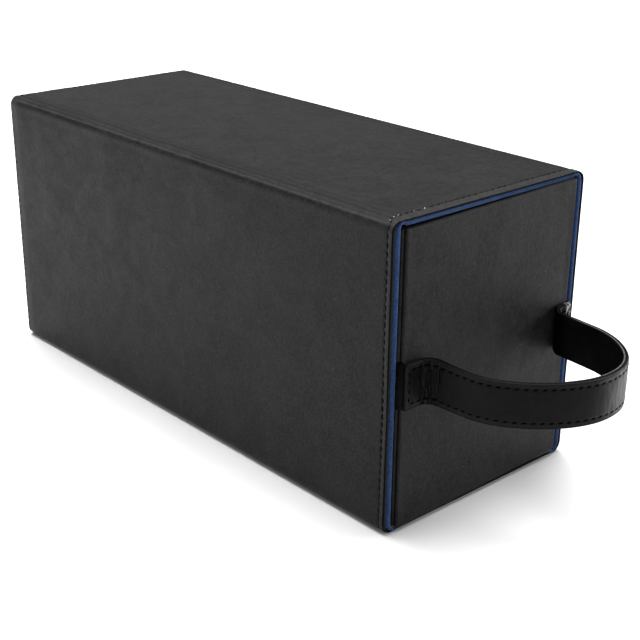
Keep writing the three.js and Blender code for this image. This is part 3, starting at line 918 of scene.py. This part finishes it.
def make_tray_skin():
    """The tray's leatherette: up the outside, over the rim and down inside as a turned-in band."""
    outline = Outline(TRAY_LOW[:2], TRAY_HIGH[:2], 1.2, fine=0.8, coarse=4.0, zone=4, arc_steps=6)
    low, high = TRAY_LOW[2], TRAY_HIGH[2]
    radius, turn_in, skin = 0.9, 12.0, 0.35
    rows = [(low, 12.0), (low, 5.0)]
    rows += [(low + radius * (1 - math.sin(t)), radius * (1 - math.cos(t)))
             for t in np.linspace(math.pi / 2, 0, 6)]
    rows += [(z, 0.0) for z in np.linspace(low + 4, high - 6, 26)]
    half = (TRAY_WALL + skin) / 2
    rim = 1.0
    for t in np.linspace(0, math.pi / 2, 6):
        rows.append((high - rim * (1 - math.sin(t)), rim * (1 - math.cos(t))))
    for t in np.linspace(math.pi / 2, 0, 6):
        rows.append((high - rim * (1 - math.sin(t)), 2 * half - rim * (1 - math.cos(t))))
    rows += [(high - 5, 2 * half), (high - turn_in + 0.4, 2 * half), (high - turn_in, 2 * half - 0.12),
             (high - turn_in, 2 * half - skin - 0.2), (high - 3.0, 1.4), (low + 0.9, 1.2), (low + 0.7, 12.0)]
    rings = []
    for z, inset in rows:
        ring = outline.at(inset)
        rings.append(np.column_stack([ring, np.full(len(ring), z)]))
    rings = np.array(rings)
    outside = np.array([1.0 if row[1] < 0.02 and low + 2 < row[0] < high - 2 else 0.0 for row in rows])
    raised = 0.04 * ripple(rings, 26, 31) * outside[:, None]
    rings[:, :, :2] += outline.outward[None] * np.minimum(raised, 0.05)[:, :, None]
    piece = make_piece("tray_leatherette", loft(rings), LEATHERETTE, "drawer",
                       ["tray_cover"])
    # The tray's front face, seen in the gap round the panel, is painted nearly black as shade; its rounded
    # corners keep the leatherette.
    piece.data.materials.append(DARK_EDGE_AND_SHADE)
    size = rings.shape[1]
    rounded = np.abs(outline.outward).max(axis=1) < 0.99
    for face in piece.data.polygons:
        if face.center.y / MM < TRAY_LOW[1] + 0.5 and not all(rounded[v % size] for v in face.vertices):
            face.material_index = 1


PANEL_TILT = 0.0135


def tilted(points, front):
    """A board's points set upright at the drawer's front, slightly crooked as in the photo."""
    return np.stack([points[:, 0], front + points[:, 2], points[:, 1] + PANEL_TILT * points[:, 0]], -1)


def make_front_panel():
    """The leatherette panel on the drawer's front, with soft edges, and the card inside it."""
    low, high = in_mm(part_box("front_panel_cover"))

    def relief(x, z, inside):
        return board_ripple(x, z, 0.045, 41) - 0.1 * hollow(inside, 3.6, 2.4)

    thickness = high[1] - low[1] - 0.05
    points, faces = slab((low[0], low[2]), (high[0], high[2]), thickness, 1.3, 0.75, 1.5, relief)
    make_piece("front_panel", (tilted(points, low[1]), faces), PANEL_LEATHERETTE, "drawer",
               ["front_panel_cover"])
    low, high = in_mm(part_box("front_panel_card"))
    gap, spare = 0.4, 0.1
    points, faces = slab((low[0] + gap, low[2] + gap), (high[0] - gap, high[2] - gap),
                         high[1] - low[1] - 2 * spare, 1.0, 0.1, 4.0)
    make_piece("panel_card", (tilted(points, low[1] + spare), faces), GREYBOARD, "drawer",
               ["front_panel_card"])


# ---------------------------------------------------------------- strap handle


STRAP_LOW, STRAP_HIGH = in_mm(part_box("strap_face"))
BASE_HIGH = np.array(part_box("strap_base")[1]) / MM
LAYER = 1.1
STRAP_FACE = MOUTH - 3.65
STRAP_END = 50.6
FOLD_START = 43.4
STRAP_LEAN = 0.9
STRAP_REACH = 59.1
LOOP_APEX = (4.0, MOUTH - STRAP_REACH)
STRAP_SEAM = 2.5
TAB_SEAM = 1.8


def bezier(a, b, c, d, count):
    t = np.linspace(0, 1, count + 1)[:, None]
    a, b, c, d = (np.array(p, float) for p in (a, b, c, d))
    return a * (1 - t) ** 3 + 3 * b * t * (1 - t) ** 2 + 3 * c * t * t * (1 - t) + d * t**3


def strap_half(side, fold_end, leg_end, first_pull, last_pull):
    """Half of the strap's outside in plan, tab's end to loop's apex; places are (x, how far out)."""
    fold_start = np.array((side * FOLD_START + STRAP_LEAN, STRAP_FACE))
    fold_end, leg_end, first_pull, last_pull = (
        np.array((x, MOUTH - out)) for x, out in (fold_end, leg_end, first_pull, last_pull)
    )
    leg = (leg_end - fold_end) / np.linalg.norm(leg_end - fold_end)
    return np.concatenate([
        np.linspace((side * STRAP_END, STRAP_FACE), fold_start, 12)[:-1],
        bezier(fold_start, fold_start - (side * 2.4, 0), fold_end - leg * 2.2, fold_end, 12)[:-1],
        np.linspace(fold_end, leg_end, 20)[:-1],
        bezier(leg_end, first_pull, last_pull, LOOP_APEX, 60),
    ])


def strap_line():
    """The strap's outside in plan, its normals and the run along it; it leans a little to the right."""
    left = strap_half(-1, (-38.1, 8.0), (-36.9, 25.0), (-34.6, 40.5), (-15.0, STRAP_REACH))
    right = strap_half(1, (42.0, 9.5), (40.4, 26.0), (38.5, 41.0), (24.5, STRAP_REACH))
    line = np.concatenate([left, right[-2::-1]])
    run = np.concatenate([[0], np.cumsum(np.linalg.norm(np.diff(line, axis=0), axis=1))])
    # Close together in the folds, where the creases are.
    folds = [np.arange(start, start + 9.0, 0.16) for start in (7.0, run[-1] - 13.0)]
    even = np.unique(np.concatenate([np.linspace(0, run[-1], 230), *folds]))
    line = np.column_stack([np.interp(even, run, line[:, k]) for k in range(2)])
    way = np.gradient(line, axis=0)
    way /= np.linalg.norm(way, axis=1)[:, None]
    return line, np.column_stack([way[:, 1], -way[:, 0]]), even


def sagged(points):
    """The strap's points lowered a little where the loop hangs off its folds, more on the right."""
    points = np.array(points, float)
    x, out, z = points[..., 0], MOUTH - points[..., 1], points[..., 2]
    right = smooth_step(5, 32, x)
    free = smooth_step(6, 20, out) * (1 - right) + smooth_step(2.6, 5.5, out) * right
    upper = np.clip((z - STRAP_LOW[2]) / (STRAP_HIGH[2] - STRAP_LOW[2]), 0, 1)
    dip = 0.2 * hollow(out, 6.5, 7.0) * right * upper
    points[..., 2] = z - free * (upper * (0.7 + 0.8 * right) + (1 - upper) * (0.1 + 1.2 * right) + dip)
    return points


def strap_creases(run, total, z, low, high):
    """Crumpled creases where the strap folds off each tab, deepest in the middle of the fold."""
    depth = np.zeros(np.broadcast(run, z).shape)
    up = z - (low + high) / 2
    for centre, seed in ((11.4, 7), (total - 8.0, 8)):
        rng = np.random.default_rng(seed)
        for offset in np.linspace(-3.0, 3.8, 8):
            lean = rng.uniform(-0.08, 0.08)
            bow = rng.uniform(-0.8, 0.8)
            place = centre + offset + rng.uniform(-0.3, 0.3)
            turns = rng.uniform(0, 6, 3)
            waves = ((0.2, 1.1), (0.14, 2.7), (0.1, 5.3))
            jag = sum(size * np.sin(z * rate + turn) for (size, rate), turn in zip(waves, turns))
            where = place + lean * up + 2 * bow * (up / (high - low)) ** 2 + jag
            strength = rng.uniform(0.6, 0.95) * math.exp(-((offset / 4.2) ** 2))
            depth = np.maximum(depth, strength * hollow(run, where, rng.uniform(0.4, 0.6)))
    return depth


def strap_relief(place, total, z, low, high):
    """How far the strap's face stands out: full between its seams, drawn in along them and creased."""
    drawn = 0.14 * (hollow(z, low + STRAP_SEAM, 0.9) + hollow(z, high - STRAP_SEAM, 0.9))
    ends = 0.14 * (hollow(place, TAB_SEAM, 0.9) + hollow(place, total - TAB_SEAM, 0.9))
    full = 0.12 * hollow(z, (low + high) / 2, (high - low) / 2 - STRAP_SEAM)
    creases = strap_creases(np.array(place), total, np.array(z), low, high)
    return float(full - np.maximum(drawn, ends) - creases)


EDGE_STEPS = 5


def strap_layer(plan, outer, inner, low, high, edge, relief=None):
    """Rings of one layer, between two offsets from the strap's outside, with rounded edges."""
    line, normal, run = plan
    fine = 6
    heights = np.concatenate([
        np.linspace(low + edge, low + fine, 14)[:-1],
        np.linspace(low + fine, high - fine, 14)[:-1],
        np.linspace(high - fine, high - edge, 14),
    ])
    turns = np.linspace(0, math.pi / 2, EDGE_STEPS)
    corner = [(edge * (1 - math.cos(t)), edge * (1 - math.sin(t))) for t in turns]
    rings = []
    for spot, way, place in zip(line, normal, run):
        ring = [(outer + (relief(place, run[-1], z, low, high) if relief else 0), z) for z in heights]
        ring += [(outer - a, high - b) for a, b in corner]
        ring += [(inner + a, high - b) for a, b in corner[::-1]]
        ring += [(inner, z) for z in heights[::-1]]
        ring += [(inner + a, low + b) for a, b in corner]
        ring += [(outer - a, low + b) for a, b in corner[::-1]]
        rings.append([(*(spot + way * off), z) for off, z in ring])
    return sagged(rings)


def finish_edges(piece, rings, ridge):
    """A dark upper edge with a painted highlight line along it, and a painted highlight line along the lower
    edge.
    """
    for material in (STRAP_EDGE_HIGHLIGHT, STRAP_LINER):
        piece.data.materials.append(material)
    size, count = len(rings[0]), len(rings) - 1
    top = size // 2 - 2 * EDGE_STEPS
    foot = size - 2 * EDGE_STEPS
    pale = [top + k for k in ridge] + [foot + k for k in (6, 7)]
    for start in range(0, size * count, size):
        for j in range(top, top + 2 * EDGE_STEPS - 1):
            piece.data.polygons[start + j].material_index = 2
        for j in pale:
            piece.data.polygons[start + j].material_index = 1


def make_strap_layers(plan):
    """Two layers of leatherette, the inner one with tails round the panel's sides."""
    low, high = STRAP_LOW[2], STRAP_HIGH[2]
    face = strap_layer(plan, 0, -LAYER, low, high, 0.4, strap_relief)
    piece = make_piece("strap_face_layer", loft(face), STRAP_LEATHER, "drawer",
                       ["strap_face"])
    finish_edges(piece, face, (1, 2))

    gap, rise = 0.05, 0.1
    base = strap_layer(plan, -LAYER - gap, -2 * LAYER - gap, low + rise, high + rise, 0.35)
    parts = [loft(base)] + [strap_tail(side, low + rise, high + rise) for side in (-1, 1)]
    piece = make_piece("strap_base_layer", joined(parts), STRAP_LINER, "drawer",
                       ["strap_base"])
    finish_edges(piece, base, (4, 5))
    for material in (DARK_EDGE_AND_SHADE, FOLD_GLOSS_AND_GLINT):
        piece.data.materials.append(material)
    # The left tail, in the gap beside the tray, is painted nearly black as shade; the right one is glossy
    # with painted glints.
    for face in piece.data.polygons[len(parts[0][1]):]:
        if face.center.y / MM < MOUTH + 0.5:
            face.material_index = 3 if face.center.x < 0 else 4


def make_strap_stitches(plan):
    """Rows of stitches along both edges of the strap and across the ends of its tabs."""
    line, normal, run = plan
    low, high, sunk = STRAP_LOW[2] + STRAP_SEAM, STRAP_HIGH[2] - STRAP_SEAM, 0.18
    keep = (run > TAB_SEAM) & (run < run[-1] - TAB_SEAM)
    ways = np.column_stack([normal, np.zeros(len(line))])[keep]
    rows = []
    for z in (low, high):
        path = sagged(np.column_stack([line - normal * sunk, np.full(len(line), z)]))[keep]
        rows.append(stitch_row(path, ways, PITCH, 0.35, share=0.62, slant=0.24, rise=0.08))
    for place, way in ((TAB_SEAM, normal[3]), (run[-1] - TAB_SEAM, normal[-4])):
        spot = np.array([np.interp(place, run, line[:, k]) for k in range(2)]) - way * sunk
        path = [(*spot, z) for z in np.linspace(low, high, 8)]
        rows.append(stitch_row(path, [(*way, 0)] * 8, PITCH, 0.38, share=0.6, slant=0.24, rise=0.08))
    make_piece("strap_stitches", joined(rows), STRAP_THREAD, "drawer", ["strap_thread"])


def strap_tail(side, z_low, z_high):
    """The inner layer's end, skived thin, turned round the panel's edge and back beside the tray."""
    edge = 0.2
    face = MOUTH - 2.5
    out = BASE_HIGH[0]
    skived = TRAY_HIGH[0] + 0.05
    outer = [(49.9, face), (50.6, face), (51.3, face + 0.12), (51.95, face + 0.5), (52.32, face + 1.1),
             (out, face + 1.9), (out, MOUTH + 2), (out, MOUTH + 12), (out, BASE_HIGH[1])]
    inner = [(49.9, face + LAYER), (50.5, face + LAYER), (50.66, face + 1.2), (50.7, face + 1.6),
             (50.9, face + 2.1), (51.4, MOUTH - 0.08), (skived, MOUTH + 0.9), (skived, MOUTH + 12),
             (skived, BASE_HIGH[1])]
    rings = []
    for a, b in zip(np.array(outer), np.array(inner)):
        near, far = a * 0.75 + b * 0.25, a * 0.25 + b * 0.75
        ring = [(*a, z_low + edge), (*a, z_high - edge), (*near, z_high), (*far, z_high),
                (*b, z_high - edge), (*b, z_low + edge), (*far, z_low), (*near, z_low)]
        rings.append([(side * x, y, z) for x, y, z in ring])
    return loft(rings)


# ---------------------------------------------------------------- carried-over CAD nodes


def dress_cad_nodes():
    """Materials for the CAD nodes whose shape is already right."""
    for name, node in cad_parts.items():
        for words, material in ((("board", "card"), GREYBOARD), (("lining",), MICROFIBRE)):
            if any(word in name for word in words):
                node.data.materials.clear()
                node.data.materials.append(material)


make_camera()
make_studio()
sleeve_outline = make_sleeve_skin()
make_sleeve_stitches(sleeve_outline)
make_back_panel()
make_sleeve_lining()
make_tray_skin()
make_front_panel()
strap_plan = strap_line()
make_strap_layers(strap_plan)
make_strap_stitches(strap_plan)
dress_cad_nodes()
